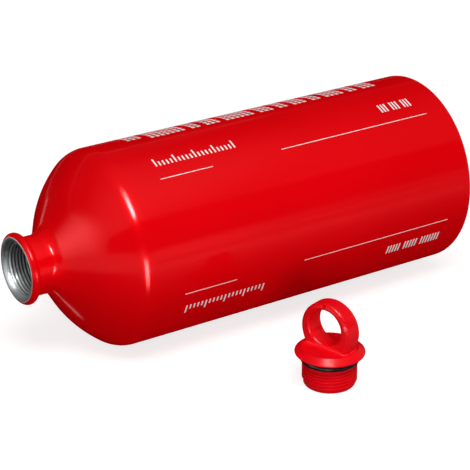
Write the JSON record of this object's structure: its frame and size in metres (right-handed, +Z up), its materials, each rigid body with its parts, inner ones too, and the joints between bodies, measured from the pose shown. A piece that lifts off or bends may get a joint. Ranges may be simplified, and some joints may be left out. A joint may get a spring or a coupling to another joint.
{
  "type": "camping fuel bottle",
  "caption": "Round aluminium fuel bottle lying on its side, open neck with a rolled lip, and a ring-handled screw cap with a rubber seal standing beside it.",
  "frame": {"origin": "centre of the mouth, on the bottle's axis, in the plane of the lip", "axes": "+X along the bottle from mouth to base, +Z up; the bottle lies on its side on the plane z = -49 mm and the cap stands on the same plane"},
  "size_m": [0.2375, 0.1636, 0.098],
  "materials": {
    "lacquered_aluminium": "gloss",
    "red_plastic": "satin",
    "seal_rubber": "matte"
  },
  "bodies": {
    "bottle": {"bottle_shell": "lacquered_aluminium"},
    "cap": {"screw_cap": "red_plastic", "o_ring": "seal_rubber"}
  },
  "joints": [
    {"name": "cap_lift", "type": "slide", "parent": "bottle", "child": "cap", "axis": [0, 0, 1], "range_m": [0, 0.12]}
  ]
}
